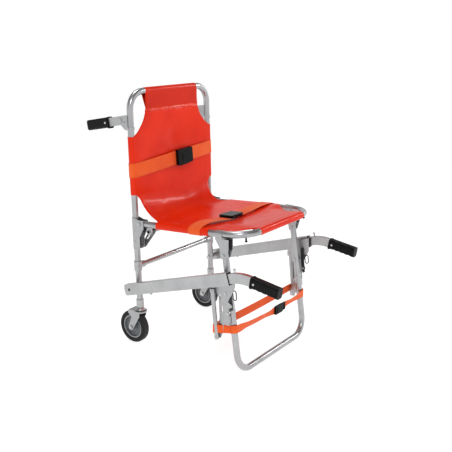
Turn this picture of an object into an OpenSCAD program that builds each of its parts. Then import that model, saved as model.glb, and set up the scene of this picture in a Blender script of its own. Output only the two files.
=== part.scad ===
// Folding stair chair: bent tube back frame on two swivel casters, a fold-up
// seat frame, a U-shaped front leg, two side carry rails with telescoping front
// handles, two fold-down rear handles, a wide sling and three straps.
// Millimetres. +Z up, the chair faces -Y, origin on the floor at the middle.

/* [Back frame] */
// Height of the top of the back tube
total_h = 910; // [905:1:915]
// Distance from the middle to each side tube
half_w = 208; // [206:1:209]
// Outside diameter of the main tubes
tube_d = 22; // [21.8:0.1:22.2]
// Wall thickness of the main tubes
tube_wall = 1.5; // [1.2:0.1:2]
// Backward lean of the back tube, degrees
back_lean = 1.375; // [1.2:0.025:1.5]
// Corner radius at the top of the back tube
back_r = 60; // [50:1:66]
// Height of the rear crossbar
crossbar_z = 296; // [290:1:302]
// Diameter of the rear crossbar
crossbar_d = 18; // [16:1:20]

/* [Seat frame] */
// Height of the seat hinge
hinge_z = 452; // [451:0.5:453]
// Hinge distance ahead of the rear line
hinge_s = 15; // [15:0.25:16]
// Upward slope of the seat towards the front, degrees
seat_slope = 3.63; // [3.5:0.05:3.8]
// Front edge of the seat frame ahead of the rear line
seat_front = 452; // [448:1:456]
// Corner radius at the front of the seat frame
seat_r = 82; // [76:1:86]

/* [Front leg] */
// Forward lean of the front leg, degrees
leg_lean = 8.03; // [7.9:0.05:8.2]
// Foot of the front leg line on the floor, ahead of the rear line
leg_foot = 432.3; // [431:0.5:434]
// Corner radius at the foot
leg_r = 62; // [55:1:70]
// Height of the front leg hinge
leg_hinge_z = 408; // [407:0.5:409]
// Diameter of the thin side struts
strut_d = 14; // [12:1:14]

/* [Carry rails] */
// Middle of each rail from the middle plane
rail_x = 250; // [250:0.5:251]
// Height of the rail section
rail_h = 40; // [38:0.5:40]
// Thickness of the rail section
rail_t = 20; // [19:0.5:20]
// Wall of the rail tube
rail_wall = 1.6; // [1.4:0.1:1.6]
// Upward slope of the rails towards the front, degrees
rail_slope = 16.94; // [16.8:0.02:17.1]
// Rail length ahead of its rear pivot
rail_len = 445; // [442:1:448]
// Height of the front handle bar
bar_h = 32; // [31:0.5:33]
// Downward bend of the front handle bar, degrees
bar_bend = 26; // [23:1:27]
// Bend radius of the front handle bar
bar_r = 150; // [140:5:160]

/* [Handles] */
// Length of each grip
grip_len = 102; // [96:1:108]
// Height of each grip
grip_h = 36; // [35:0.5:38]
// Width of each grip
grip_w = 28; // [27:0.5:30]
// Downward slope of the rear handles against the back frame, degrees
handle_drop = 8.8; // [8:0.2:9.6]

/* [Casters] */
// Wheel radius
wheel_r = 60; // [59:0.5:60]
// Tyre width
tyre_w = 30; // [28:1:31]
// Wheel trail behind the stem
trail = 31; // [28:1:34]

/* [Sling and straps] */
// Thickness of the sling sheet
sling_t = 1.2; // [1:0.1:1.2]
// Half width of the neck over the top bar
neck_w = 138; // [130:1:142]
// Width of the chest and lap straps
strap_w = 50; // [45:1:50]
// Width of the ankle strap
ankle_w = 28; // [24:1:28]

/* [Hidden] */
$fn = 96;
y0 = 196.5;
tr = tube_d / 2;
gap = 0.05;
run = 0.05;
plate = 2;
in_gap = tr + 0.2;
sr = tr + 0.4;
so = sr + sling_t;
top_z = total_h - so;
tube_z0 = 150;
rail_d = 220.4;
rail_pz = rail_d * cos(back_lean);
rail_ps = -rail_d * sin(back_lean);
seat_len = (seat_front - hinge_s) / cos(seat_slope);
leg_top = 452;
leg_bar_z = tr / cos(leg_lean);
st0 = so + 0.4;
st1 = st0 + 1.2;
stem_s = -0.024 * tube_z0;
lock_s = 51;
lock_z = 429;
pin_s = 6;
pin_z = 372;
bar_out = 13;
handle_z = 804;
strut_x = 241;
web = 231;
strut_top = [347.5, 292];
strut_low = [363.5, 138];
knob_y = -28;
handle_y = 35;
band_z = 778;

// A point given by its distance ahead of the rear line and its height
function q(s, z) = [y0 - s, z];
function leg_s(z) = leg_foot - tan(leg_lean) * z;

// Frames: forward is -Y in each, tilted about X through a point
module at(s, z, lean = 0) {
    translate([0, y0 - s, z]) rotate([-lean, 0, 0]) children();
}
module back() {
    at(0, 0, back_lean) children();
}
module seat() {
    at(hinge_s, hinge_z, seat_slope) children();
}
module leg() {
    at(leg_foot, 0, leg_lean) children();
}
module rail() {
    at(rail_ps, rail_pz, rail_slope) children();
}
module right() {
    mirror([1, 0, 0]) children();
}
module both() {
    children();
    right() children();
}

// A flat shape drawn as (y, z), standing across X
module plate_x(x, t) {
    translate([x, 0, 0]) rotate([90, 0, 90]) linear_extrude(t) children();
}
// A flat shape drawn as (x, z), facing -Y, from y back to y + t
module plate_y(y, t) {
    translate([0, y + t, 0]) rotate([90, 0, 0]) linear_extrude(t) children();
}
// A round rod along X
module rod_x(x, len, r, y = 0, z = 0) {
    translate([x, y, z]) rotate([0, 90, 0]) cylinder(h = len, r = r);
}
module rod_y(y, len, r, x = 0, z = 0) {
    translate([x, y, z]) rotate([-90, 0, 0]) cylinder(h = len, r = r);
}
module box(x, y, z) {
    translate([x[0], y[0], z[0]]) cube([x[1] - x[0], y[1] - y[0], z[1] - z[0]]);
}
// A rectangle with round corners
module rrect(x, y, r) {
    translate([x[0] + r, y[0]]) square([x[1] - x[0] - 2 * r, y[1] - y[0]]);
    translate([x[0], y[0] + r]) square([x[1] - x[0], y[1] - y[0] - 2 * r]);
    for (a = [x[0] + r, x[1] - r], b = [y[0] + r, y[1] - r]) translate([a, b]) circle(r);
}
// Two circles and the straight sides that touch both
module link2d(p, e, r1, r2) {
    d = norm(e - p);
    a = atan2(e[1] - p[1], e[0] - p[0]);
    b = acos((r1 - r2) / d);
    u = [cos(a + b), sin(a + b)];
    v = [cos(a - b), sin(a - b)];
    translate(p) circle(r1);
    translate(e) circle(r2);
    polygon([p + r1 * u, e + r2 * u, e + r2 * v, p + r1 * v]);
}
// A U of round bar: two legs along +Y and a bar at y = len
module u_bar(half, len, r, rad, over = 0) {
    for (m = [-1, 1]) translate([m * half, -over, 0]) rotate([-90, 0, 0])
        cylinder(h = len - r + over, r = rad);
    for (m = [0, 1]) translate([(1 - 2 * m) * (half - r), len - r, 0]) rotate([0, 0, 90 * m])
        rotate_extrude(angle = 90) translate([r, 0]) circle(rad);
    rod_x(-(half - r), 2 * (half - r), rad, len, 0);
}
module u_tube(half, len, r) {
    difference() {
        u_bar(half, len, r, tr);
        u_bar(half, len, r, tr - tube_wall, 1);
    }
}
// A bolt along X with a domed head and a nut
module bolt_x(x, len, r, y = 0, z = 0, head = 2.6) {
    rod_x(x, len, r, y, z);
    rod_x(x - head, head, r * 1.8, y, z);
    rod_x(x + len, head, r * 1.8, y, z);
}

// Back frame
module back_frame() {
    color("silver") back() difference() {
        translate([0, 0, tube_z0]) rotate([90, 0, 0])
            u_tube(half_w, top_z - tube_z0, back_r);
        for (z = [386, 426]) rod_x(-240, 480, 2.5 + run, 0, z);
        rod_x(-240, 480, 4 + run, 0, rail_d);
        rod_x(-240, 480, 2.5 + run, 0, band_z);
    }
}
module rear_crossbar() {
    color("silver") back() difference() {
        rod_x(-188, 376, crossbar_d / 2, 0, crossbar_z);
        rod_x(-189, 378, crossbar_d / 2 - 1.5, 0, crossbar_z);
    }
}
module crossbar_tees() {
    color("gainsboro") back() both() difference() {
        union() {
            translate([half_w, 0, crossbar_z - 17]) cylinder(h = 34, r = tr + 3);
            rod_x(178, half_w - 178, crossbar_d / 2 + 3, 0, crossbar_z);
        }
        translate([half_w, 0, crossbar_z - 18]) cylinder(h = 36, r = tr + gap);
        rod_x(177, 12, crossbar_d / 2 + gap, 0, crossbar_z);
    }
}
// Sheet bracket: a half round back with two side plates reaching forward
module saddle(z0, z1, wrap) {
    translate([half_w, 0, z0]) linear_extrude(z1 - z0) difference() {
        union() {
            circle(tr + gap + plate);
            translate([-in_gap - plate, wrap[0]])
                square([2 * (in_gap + plate), wrap[1] - wrap[0]]);
        }
        circle(tr + gap);
        translate([-in_gap, wrap[0] - 1]) square([2 * in_gap, wrap[1] - wrap[0] + 2]);
    }
}
module hinge_brackets() {
    color("lightgray") both() difference() {
        back() difference() {
            saddle(358, 472, [-46, 0]);
            plate_x(half_w - 20, 40) polygon([
                [-60, 300], [-60, 436], [-44, 436], [-26, 404], [-25, 366], [-10, 357], [-10, 300]
            ]);
            plate_x(half_w - 20, 40) polygon([[-60, 466], [-26, 466], [-4, 473], [-60, 480]]);
            for (z = [386, 426]) rod_x(half_w - 20, 40, 2.5 + run, 0, z);
        }
        at(hinge_s, hinge_z) rod_x(half_w - 20, 40, 4 + run);
        at(pin_s, pin_z) rod_x(half_w - 20, 20, 3 + run);
    }
}
module bracket_rivets() {
    color("silver") back() both() {
        for (z = [386, 426]) bolt_x(half_w - in_gap - plate - gap, 2 * (in_gap + plate + gap),
            2.5, 0, z, 1.6);
        bolt_x(half_w - in_gap - plate - gap, 2 * (in_gap + plate + gap), 2.5, 0, band_z, 1.6);
    }
}
module seat_hinge_bolts() {
    color("silver") at(hinge_s, hinge_z) both()
        bolt_x(half_w - in_gap - plate - gap, 2 * (in_gap + plate + gap), 4, 0, 0, 3);
}
module lock_pins() {
    color("dimgray") at(pin_s, pin_z) both() {
        rod_x(184, half_w - 184 - in_gap, 3);
        rod_x(182, 3, 5);
    }
}
module stem_collars() {
    color("gainsboro") both() difference() {
        back() translate([half_w, 0, tube_z0 - 8]) {
            cylinder(h = 26, r = tr + 2.6);
            translate([0, 0, 26]) cylinder(h = 4, r1 = tr + 2.6, r2 = tr + 1.4);
        }
        back() translate([half_w, 0, tube_z0]) cylinder(h = 40, r = tr + gap);
        translate([half_w, y0 - stem_s, 100]) cylinder(h = 80, r = 6 + gap);
    }
}
module caster_stems() {
    color("silver") both() translate([half_w, y0 - stem_s, 0]) {
        translate([0, 0, 119]) cylinder(h = 53, r = 6);
        translate([0, 0, 131]) cylinder(h = 8, r1 = 19, r2 = 12);
        translate([0, 0, 117]) cylinder(h = 3, r = 11);
    }
}
// A saddle behind the tube, a riveted band round it, and two lugs for the handle pivot
module rear_handle_brackets() {
    color("lightgray") back() both() difference() {
        union() {
            saddle(band_z - 5, 822, [0, 13]);
            for (x = [half_w - in_gap - plate, half_w + in_gap]) plate_x(x, plate) {
                link2d([11, band_z + 4], [handle_y, handle_z], 9, 10);
                link2d([11, 813], [handle_y, handle_z], 9, 10);
            }
        }
        box([half_w - 20, half_w + 20], [-20, 2], [band_z + 5, 830]);
        rod_x(half_w - 20, 40, 2.5 + run, 0, band_z);
        rod_x(half_w - 20, 40, 4 + run, handle_y, handle_z);
    }
}
module rear_handle_bolts() {
    color("dimgray") back() both()
        bolt_x(half_w - in_gap - plate - gap, 2 * (in_gap + plate + gap), 4, handle_y, handle_z, 3);
}
module rail_pivot_spacers() {
    color("darkgray") back() both() difference() {
        rod_x(half_w + tr + 0.4, rail_x - rail_t / 2 - half_w - tr - 0.8, 8, 0, rail_d);
        rod_x(half_w, 60, 4 + run, 0, rail_d);
    }
}
module rail_pivot_bolts() {
    color("silver") back() both() {
        rod_x(half_w - tr - 2, rail_x + rail_t / 2 - 0.2 - (half_w - tr - 2), 4, 0, rail_d);
        rod_x(half_w - tr - 5, 3, 7.5, 0, rail_d);
    }
}

// Casters
module caster_fork() {
    color("lightgray") difference() {
        union() {
            translate([0, 0, 123]) cylinder(h = 5, r = 24);
            box([-19.6, 19.6], [0, 40], [123, 128]);
            for (m = [-1, 1]) plate_x(m * 18.3 - 1.3, 2.6) {
                link2d([6, 112], [trail, wheel_r], 16, 11);
                polygon([[-10, 128], [-10, 108], [22, 96], [44, 116], [40, 128]]);
            }
        }
        translate([0, 0, 100]) cylinder(h = 40, r = 6 + run);
        rod_x(-30, 60, 4 + run, trail, wheel_r);
    }
}
module caster_axle() {
    color("silver") {
        rod_x(-20, 40, 4, trail, wheel_r);
        rod_x(-23, 3, 6.5, trail, wheel_r);
        rod_x(20, 4, 6.5, trail, wheel_r);
    }
}
module turn_x(y, z) {
    translate([0, y, z]) rotate([0, 90, 0]) rotate_extrude() children();
}
module wheel_hub() {
    color("gray") turn_x(trail, wheel_r) difference() {
        union() {
            translate([4 + run, -15]) square([8, 30]);
            translate([12, -3]) square([32, 6]);
            translate([12, -8]) square([5, 16]);
            translate([38, -11]) square([6, 22]);
        }
        translate([24, 5]) circle(3.5);
        translate([24, -5]) circle(3.5);
    }
}
module tyre() {
    w = tyre_w / 2;
    color("dimgray") turn_x(trail, wheel_r) {
        translate([44.2, -w + 2]) square([wheel_r - 50.2, tyre_w - 4]);
        translate([wheel_r - 8, -w + 8]) square([8, tyre_w - 16]);
        translate([wheel_r - 8, -w]) square([0.01 + 0, tyre_w]);
        for (m = [-1, 1]) translate([wheel_r - 8, m * (w - 8)]) circle(8);
        for (m = [-1, 1]) translate([46.2, m * (w - 2)]) circle(2);
    }
}
module caster_left() {
    translate([half_w, y0 - stem_s, 0]) children();
}

// Rear carry handles
module rear_handle() {
    back() translate([half_w, handle_y, handle_z]) rotate([-handle_drop, 0, 0]) children();
}
module rear_handle_arm() {
    color("silver") rear_handle() difference() {
        box([-9, 9], [-14, 150], [-15, 15]);
        box([-7, 7], [-15, 151], [-13, 13]);
        rod_x(-20, 40, 4 + run);
        box([-20, 20], [58, 151], [10.5, 20]);
        box([-20, 20], [58, 151], [-20, -10.5]);
    }
}
// A hand grip along +Y from y = 0, hollow for its bar, grooves underneath
module grip(len, hole_w, hole_h) {
    color("black") difference() {
        union() {
            rotate([-90, 0, 0]) linear_extrude(len)
                rrect([-grip_w / 2, grip_w / 2], [-grip_h / 2, grip_h / 2], 8);
            rotate([-90, 0, 0]) linear_extrude(5)
                rrect([-grip_w / 2 - 1, grip_w / 2 + 1], [-grip_h / 2 - 1, grip_h / 2 + 3], 9);
        }
        for (i = [0:3]) rod_x(-40, 80, 12, len * (0.24 + 0.19 * i), -grip_h / 2 - 8);
        box([-hole_w / 2, hole_w / 2], [-1, len - 8], [-hole_h / 2, hole_h / 2]);
    }
}
module rear_grip() {
    rear_handle() translate([0, 60, 0]) grip(grip_len, 18 + 2 * gap, 21 + 2 * gap);
}

// Seat
module seat_frame() {
    color("silver") {
        difference() {
            union() {
                seat() translate([0, 7, 0]) rotate([0, 0, 180])
                    u_tube(half_w, seat_len + 7, seat_r);
                both() plate_x(half_w - 2, 4) {
                    link2d(q(lock_s, lock_z), q(lock_s + 1, lock_z + 16), 11, 13);
                }
            }
            at(hinge_s, hinge_z) rod_x(-240, 480, 4 + run);
            at(lock_s, lock_z) rod_x(-240, 480, 7 + run);
            seat() translate([0, 7, 0]) rotate([0, 0, 180])
                u_bar(half_w, seat_len + 7, seat_r, tr - tube_wall, 1);
        }
    }
}
module lock_bar() {
    color("silver") at(lock_s, lock_z) difference() {
        rod_x(-half_w - 5, 2 * half_w + 10, 7);
        rod_x(-half_w - 6, 2 * half_w + 12, 5.6);
    }
}
// The stays hang from the lock bar; the open jaw at the foot sits over the pin
module lock_links() {
    color("dimgray") both() plate_x(188, 4) difference() {
        union() {
            link2d(q(lock_s, lock_z), q(pin_s + 7, pin_z + 4), 12, 9);
            translate(q(pin_s + 4, pin_z)) circle(9);
        }
        translate(q(lock_s, lock_z)) circle(7 + gap);
        link2d(q(pin_s, pin_z), q(pin_s - 30, pin_z + 10), 3.4, 12);
        link2d(q(24, 395), q(36, 410.5), 2.6, 2.6);
    }
}
module leg_brackets() {
    color("lightgray") both() difference() {
        seat() {
            translate([half_w, -328, 0]) rotate([90, 0, 0]) linear_extrude(27) difference() {
                union() {
                    circle(tr + gap + plate);
                    translate([-in_gap - plate, -14]) square([2 * (in_gap + plate), 14]);
                }
                circle(tr + gap);
                translate([-in_gap, -15]) square([2 * in_gap, 15]);
            }
            for (x = [half_w - in_gap - plate, half_w + in_gap]) plate_x(x, plate) polygon([
                [-328, -6], [-328, -14], [-343, -40], [-346, -74], [-350, -78], [-364, -78],
                [-368, -74], [-378, -46], [-380, -12.5], [-355, -12.5], [-355, -6]
            ]);
        }
        at(leg_s(leg_hinge_z), leg_hinge_z) rod_x(180, 60, 3 + run);
    }
}
module leg_hinge_bolts() {
    color("silver") at(leg_s(leg_hinge_z), leg_hinge_z) both()
        bolt_x(half_w - in_gap - plate - gap, 2 * (in_gap + plate + gap), 3, 0, 0, 2.6);
}

// Front leg
module front_leg() {
    color("silver") difference() {
        leg() translate([0, 0, leg_top / cos(leg_lean)]) rotate([-90, 0, 0])
            u_tube(half_w, leg_top / cos(leg_lean) - leg_bar_z, leg_r);
        at(leg_s(leg_hinge_z), leg_hinge_z) rod_x(-240, 480, 3 + run);
        for (z = [288, 222]) at(leg_s(z), z) rod_x(-240, 480, 3 + run);
    }
}
module leg_plugs() {
    color("black") leg() both() translate([half_w, 0, leg_top / cos(leg_lean)]) {
        translate([0, 0, gap]) cylinder(h = 4, r = tr);
        box([-7, 7], [-18, -tr + 3], [gap, 4]);
        box([-7, 7], [-18, -tr - 0.3], [-30, 4]);
        translate([0, 0, -12]) cylinder(h = 13, r = tr - tube_wall - gap);
    }
}
// Sheet channel outboard of the leg, with a lip that the rail rests on
module leg_channel() {
    color("lightgray") difference() {
        union() {
            plate_x(web, plate) difference() {
                union() {
                    polygon([
                        q(340, 303), q(340, 284), q(356, 284), q(366, 272), q(370, 200), q(366, 178),
                        q(355, 156), q(355, 130), q(373, 130), q(384, 156), q(386, 181), q(408, 181),
                        q(405, 236), q(402, 262), q(418, 292), q(430, 318), q(428, 366), q(352, 343)
                    ]);
                    link2d(q(412, 250), q(398, 250), 6.5, 12);
                }
                link2d(q(380, 226), q(377.5, 243), 3.2, 3.2);
                link2d(q(372, 265), q(370.6, 281), 2, 2);
            }
            rail() box([web, 254], [-446, -372], [-rail_h / 2 - 2.4, -rail_h / 2 - 0.4]);
            plate_x(half_w + tr + 3, web - half_w - tr - 3) {
                polygon([q(370, 200), q(366, 272), q(368.2, 272), q(372.2, 200)]);
                polygon([q(408, 183), q(406.5, 212), q(404.3, 212), q(405.8, 183)]);
            }
        }
        for (z = [288, 222]) at(leg_s(z), z) rod_x(200, 60, 3 + run);
        for (p = [strut_top, strut_low]) at(p[0], p[1]) rod_x(200, 60, 2.5 + run);
        at(412, 250) rod_x(200, 60, 2 + run);
    }
}
module leg_bolts() {
    color("silver") both() {
        for (z = [288, 222]) at(leg_s(z), z) {
            rod_x(half_w - tr - 1, web + plate + 0.1 - half_w + tr + 1, 3);
            rod_x(half_w - tr - 3, 2.4, 5.5);
            rod_x(web + plate + 0.1, 1.6, 5);
            rod_x(half_w + tr + 0.6, web - half_w - tr - 0.7, 5);
        }
        for (p = [strut_top, strut_low]) at(p[0], p[1]) {
            rod_x(web - 1, strut_x + 7.4 - web + 1, 2.5);
            rod_x(web - 1.7, 1.6, 4.5);
            rod_x(strut_x + 7.2, 1.6, 4);
        }
        at(412, 250) {
            rod_x(225, web + plate + 0.2 - 225, 2);
            rod_x(223.6, 1.6, 4);
            rod_x(web + plate + 0.1, 1.2, 3.6);
        }
    }
}
module leg_struts() {
    a = atan2(strut_low[0] - strut_top[0], strut_top[1] - strut_low[1]);
    color("silver") both() difference() {
        translate([strut_x, 0, 0]) at(strut_low[0], strut_low[1], a) {
            translate([0, 0, -10]) difference() {
                cylinder(h = 171, r = strut_d / 2);
                translate([0, 0, -1]) cylinder(h = 173, r = strut_d / 2 - 1.2);
            }
        }
        for (p = [strut_top, strut_low]) at(p[0], p[1]) rod_x(200, 80, 2.5 + run);
    }
}
// Spring latch beside the leg, on the lower channel bolt line, ring in front
module rail_latch() {
    color("dimgray") {
        plate_x(226, 2.5) difference() {
            union() {
                link2d(q(412, 250), q(404, 322), 6, 5);
                link2d(q(412, 250), q(414, 238), 6, 5);
            }
            translate(q(412, 250)) circle(2 + run);
        }
        plate_x(226, 2.5) difference() {
            link2d(q(424, 296), q(426, 278), 8, 8);
            link2d(q(424, 296), q(426, 278), 5.4, 5.4);
        }
        rod_x(226, 2.5, 3.5, y0 - 415, 297);
    }
}
// Points of the ankle loop at a distance o outside: legs in front, struts behind
function ring_at(c, r, a) = [c[0] + r * cos(a), c[1] + r * sin(a)];
function ankle_half(o, a) = [
    for (i = [0:8]) ring_at([half_w, y0 - 409], 13.8 + o, -90 + i * (a + 90) / 8),
    for (i = [0:12]) ring_at([strut_x, y0 - 360.8], 9 + o, a + i * (90 - a) / 12)
];
module ankle_area(o) {
    d = [strut_x - half_w, 48.2];
    p = ankle_half(o, atan2(d[1], d[0]) - acos(4.8 / norm(d)));
    n = len(p) - 1;
    polygon([for (v = p) v, for (i = [n:-1:0]) [-p[i][0], p[i][1]]]);
}
module ankle_strap() {
    color("orangered") translate([0, 0, 165 - ankle_w / 2]) linear_extrude(ankle_w) difference() {
        ankle_area(1.3);
        ankle_area(0);
    }
}
module ankle_buckle() {
    color("black") translate([43, y0 - 422.8 - 1.8, 157]) difference() {
        union() {
            box([-32, 12], [-8, 0], [-15, 15]);
            box([11, 32], [-6, 0], [-13, 13]);
        }
        box([-26, -22], [-9, -3], [-12, 12]);
        box([16, 27], [-7, -4], [-10, 10]);
    }
}

// Carry rails and front handles
module carry_rail() {
    color("silver") rail() difference() {
        box([rail_x - rail_t / 2, rail_x + rail_t / 2], [-rail_len, 23], [-rail_h / 2, rail_h / 2]);
        box([rail_x - rail_t / 2 + rail_wall, rail_x + rail_t / 2 - rail_wall],
            [-rail_len - 1, 24], [-rail_h / 2 + rail_wall, rail_h / 2 - rail_wall]);
        plate_x(rail_x - 20, 40) {
            polygon([[14, 30], [30, 30], [30, -4], [23, 4]]);
            polygon([[30, -30], [10, -30], [17, -20.1], [30, -10]]);
        }
        rod_x(rail_x - 20, 17.4, 4 + run);
        rod_x(rail_x - 20, 40, 4 + run);
    }
}
module rail_bush() {
    w = rail_t / 2 - rail_wall - gap;
    h = rail_h / 2 - rail_wall - gap;
    color("dimgray") rail() translate([rail_x, 0, 0]) difference() {
        union() {
            box([-w, w], [-rail_len - 1, -rail_len + 34], [-h, h]);
            box([-rail_t / 2, rail_t / 2], [-rail_len - 2, -rail_len - gap], [-rail_h / 2, rail_h / 2]);
        }
        box([-7.8 - run, 7.8 + run], [-rail_len - 3, -rail_len + 35],
            [-bar_h / 2 - run, bar_h / 2 + run]);
    }
}
// Side view of the handle bar: straight, then bent down about a centre below it
module bar_side(h, back_end, front_end) {
    translate([-rail_len - bar_out, -h / 2]) square([back_end, h]);
    translate([-rail_len - bar_out, -bar_r]) intersection() {
        difference() {
            circle(bar_r + h / 2);
            circle(bar_r - h / 2);
        }
        polygon([[0, 0], [0, 300], [-300 * tan(bar_bend), 300]]);
    }
    translate([-rail_len - bar_out - bar_r * sin(bar_bend), bar_r * (cos(bar_bend) - 1)])
        rotate(bar_bend) translate([-front_end, -h / 2]) square([front_end + 1, h]);
}
module bar_end() {
    translate([0, -rail_len - bar_out - bar_r * sin(bar_bend), bar_r * (cos(bar_bend) - 1)])
        rotate([bar_bend, 0, 0]) children();
}
module front_handle_bar() {
    color("silver") rail() translate([rail_x, 0, 0]) difference() {
        plate_x(-7.8, 15.6) bar_side(bar_h, 300, 95);
        plate_x(-6.3, 12.6) bar_side(bar_h - 3, 301, 96);
        translate([0, -rail_len + knob_y, 0]) cylinder(h = 40, r = 2.5 + run);
        bar_end() box([-20, 20], [-100, -6], [10.5, 20]);
        bar_end() box([-20, 20], [-100, -6], [-20, -10.5]);
    }
}
module front_grip() {
    rail() translate([rail_x, 0, 0]) bar_end() translate([0, -6, 0]) mirror([0, 1, 0])
        grip(grip_len, 15.6 + 2 * gap, 21 + 2 * gap);
}
module lock_knob() {
    color("dimgray") rail() translate([rail_x, -rail_len + knob_y, 0]) {
        translate([0, 0, bar_h / 2 - 8]) cylinder(h = 16, r = 2.5);
        translate([0, 0, bar_h / 2 + 8]) cylinder(h = 5, r = 5);
        translate([0, 0, bar_h / 2 - 9]) cylinder(h = 3, r = 4.5);
    }
}

// Sling
module back_sling() {
    color("orangered") back() {
        for (m = [-1, 1]) translate([m * half_w, 0, 551]) linear_extrude(199) difference() {
            circle(so);
            circle(sr);
        }
        plate_y(-so, sling_t) {
            translate([-half_w, 551]) square([2 * half_w, 199]);
            difference() {
                translate([-half_w, 749]) square([2 * half_w, 99]);
                for (m = [-1, 1]) translate([m * (neck_w + 61), 810]) circle(61);
                for (m = [-1, 1]) translate([m * (neck_w + 61) - 61, 810]) square([122, 60]);
            }
        }
        difference() {
            union() {
                rod_x(-neck_w, 2 * neck_w, so, 0, top_z);
                plate_x(-neck_w, 2 * neck_w) polygon([
                    [-so, 846], [-so, top_z], [so, top_z], [so, top_z - 6], [-so + sling_t, 846]
                ]);
            }
            rod_x(-neck_w - 1, 2 * neck_w + 2, sr, 0, top_z);
            plate_x(-neck_w - 1, 2 * neck_w + 2) polygon([
                [-sr, 851], [-sr, top_z], [sr, top_z], [sr, top_z - 6]
            ]);
        }
    }
}
module sling_bend() {
    pts = [[-1, 550], [-2, 536], [2, 521], [10, 506], [22, 492.5], [36, 481.5], [52, 474],
        [70, 470], [90, 470]];
    n = len(pts);
    color("orangered") plate_x(-186, 372) polygon([
        for (i = [0:n - 1]) q(pts[i][0], pts[i][1]),
        for (i = [n - 1:-1:0]) q(pts[i][0] - (i < 4 ? sling_t : 0.2), pts[i][1] - (i < 3 ? 0 : sling_t))
    ]);
}
module seat_sling() {
    color("orangered") seat() {
        translate([0, 0, so - sling_t]) linear_extrude(sling_t) polygon([
            [-half_w, -76], [-half_w, -300], [-187, -322], [-164, -357], [-147, -393],
            [-134.5, -seat_len], [134.5, -seat_len], [147, -393], [164, -357], [187, -322],
            [half_w, -300], [half_w, -76]
        ]);
        for (m = [-1, 1]) rod_y_ring(m * half_w, -300, 224);
        difference() {
            rod_x(-122, 244, so, -seat_len, 0);
            rod_x(-123, 246, sr, -seat_len, 0);
        }
    }
}
module rod_y_ring(x, y, len) {
    difference() {
        rod_y(y, len, so, x, 0);
        rod_y(y - 1, len + 2, sr, x, 0);
    }
}

// Straps
module chest_strap() {
    z1 = 636;
    z2 = 665;
    h = strap_w / 2;
    color("orangered") back() {
        for (m = [-1, 1]) translate([m * half_w, 0, (m < 0 ? z1 : z2) - h]) linear_extrude(strap_w)
            difference() {
                circle(st1);
                circle(st0);
                translate([m < 0 ? 0 : -20, -20]) square([20, 40]);
            }
        plate_y(st0, st1 - st0) polygon([
            [-half_w, z1 - h], [half_w, z2 - h], [half_w, z2 + h], [-half_w, z1 + h]
        ]);
        difference() {
            plate_y(-st1, st1 - st0) polygon([
                [-half_w, z1 - h], [half_w, z2 - h], [half_w, z2 + h], [-half_w, z1 + h]
            ]);
            box([14, 78], [-40, 0], [500, 800]);
        }
    }
}
module on_chest() {
    back() translate([42, -st1 - 0.3, 652.5]) rotate([0, -4, 0]) children();
}
module chest_buckle() {
    color("black") on_chest() difference() {
        plate_y(-13, 14.2) rrect([-40, 22], [-29, 29], 6);
        box([-41, -20], [-0.6, 1.5], [-26, 26]);
        box([-6, 23], [-9, -3], [-20, 20]);
        box([-16.1, 6.1], [-14, -8.9], [-13.1, 13.1]);
    }
}
module chest_button() {
    color("firebrick") on_chest() box([-16, 6], [-14.4, -10.4], [-13, 13]);
}
module chest_tongue() {
    color("black") on_chest() difference() {
        union() {
            box([-5, 24], [-8.8, -3.2], [-19.5, 19.5]);
            plate_y(-11, 12.2) rrect([24, 44], [-28, 28], 5);
        }
        box([32, 45], [-0.6, 1.5], [-26, 26]);
    }
}
module lap_strap() {
    h = strap_w / 2;
    y1 = -243;
    y2 = -247;
    ym = -259;
    color("orangered") seat() {
        for (m = [-1, 1]) translate([m * half_w, (m < 0 ? y1 : y2) + h, 0]) rotate([90, 0, 0])
            linear_extrude(strap_w) difference() {
                circle(st1);
                circle(st0);
                translate([m < 0 ? 0 : -20, -20]) square([20, 40]);
            }
        difference() {
            translate([0, 0, st0]) linear_extrude(st1 - st0) polygon([
                [-half_w, y1 - h], [-72, ym - h], [4, ym - h], [half_w, y2 - h],
                [half_w, y2 + h], [4, ym + h], [-72, ym + h], [-half_w, y1 + h]
            ]);
            box([-60, -8], [-400, 0], [0, 40]);
        }
    }
}
module on_lap() {
    seat() translate([-34, -259, st1 + 0.3]) children();
}
module lap_buckle() {
    color("black") on_lap() difference() {
        linear_extrude(10) rrect([-34, 8], [-28, 28], 5);
        box([-35, -22], [-26, 26], [-1.6, 1.4]);
        box([-14, 9], [-20, 20], [2.5, 7.5]);
        box([-8, 0], [19, 30], [2.5, 7.5]);
        box([-8, 0], [-30, -19], [2.5, 7.5]);
    }
}
module lap_tongue() {
    color("black") on_lap() difference() {
        union() {
            box([-13, 10], [-19.5, 19.5], [2.7, 7.3]);
            translate([0, 0, 0]) linear_extrude(9) rrect([9, 34], [-27, 27], 5);
            box([-7.6, -0.4], [19, 27], [2.7, 7.3]);
            box([-7.6, -0.4], [-27, -19], [2.7, 7.3]);
        }
        box([20, 35], [-26, 26], [-1.6, 1.4]);
    }
}

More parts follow.
